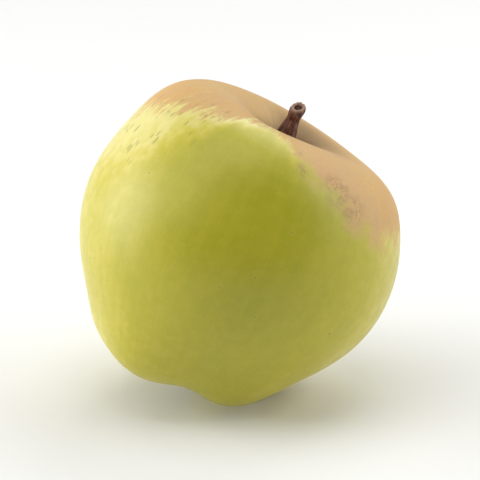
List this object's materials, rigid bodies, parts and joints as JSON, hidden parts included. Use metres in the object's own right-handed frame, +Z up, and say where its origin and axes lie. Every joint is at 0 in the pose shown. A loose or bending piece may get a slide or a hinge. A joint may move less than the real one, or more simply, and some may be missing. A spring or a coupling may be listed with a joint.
{
  "type": "apple",
  "caption": "Whole yellow-green apple with a russet crown, a short woody stem and a dried flower end, leaning on a small flat spot.",
  "frame": {"origin": "on the small flat spot that the apple rests on, under the lowest point of its uncut round", "axes": "+Z up from the surface it rests on; the side seen first faces -Y; the stem end of the fruit's own axis leans 25.2 degrees from +Z, towards +X and a little towards +Y"},
  "size_m": [0.0749, 0.0743, 0.0753],
  "materials": {
    "apple_skin": "satin",
    "stem_wood": "matte",
    "dry_sepal": "matte",
    "dry_stamen": "matte"
  },
  "bodies": {
    "root": {"fruit": "apple_skin", "stem": "stem_wood", "sepal_1": "dry_sepal", "sepal_2": "dry_sepal", "sepal_3": "dry_sepal", "sepal_4": "dry_sepal", "sepal_5": "dry_sepal", "stamens": "dry_stamen"}
  },
  "joints": []
}
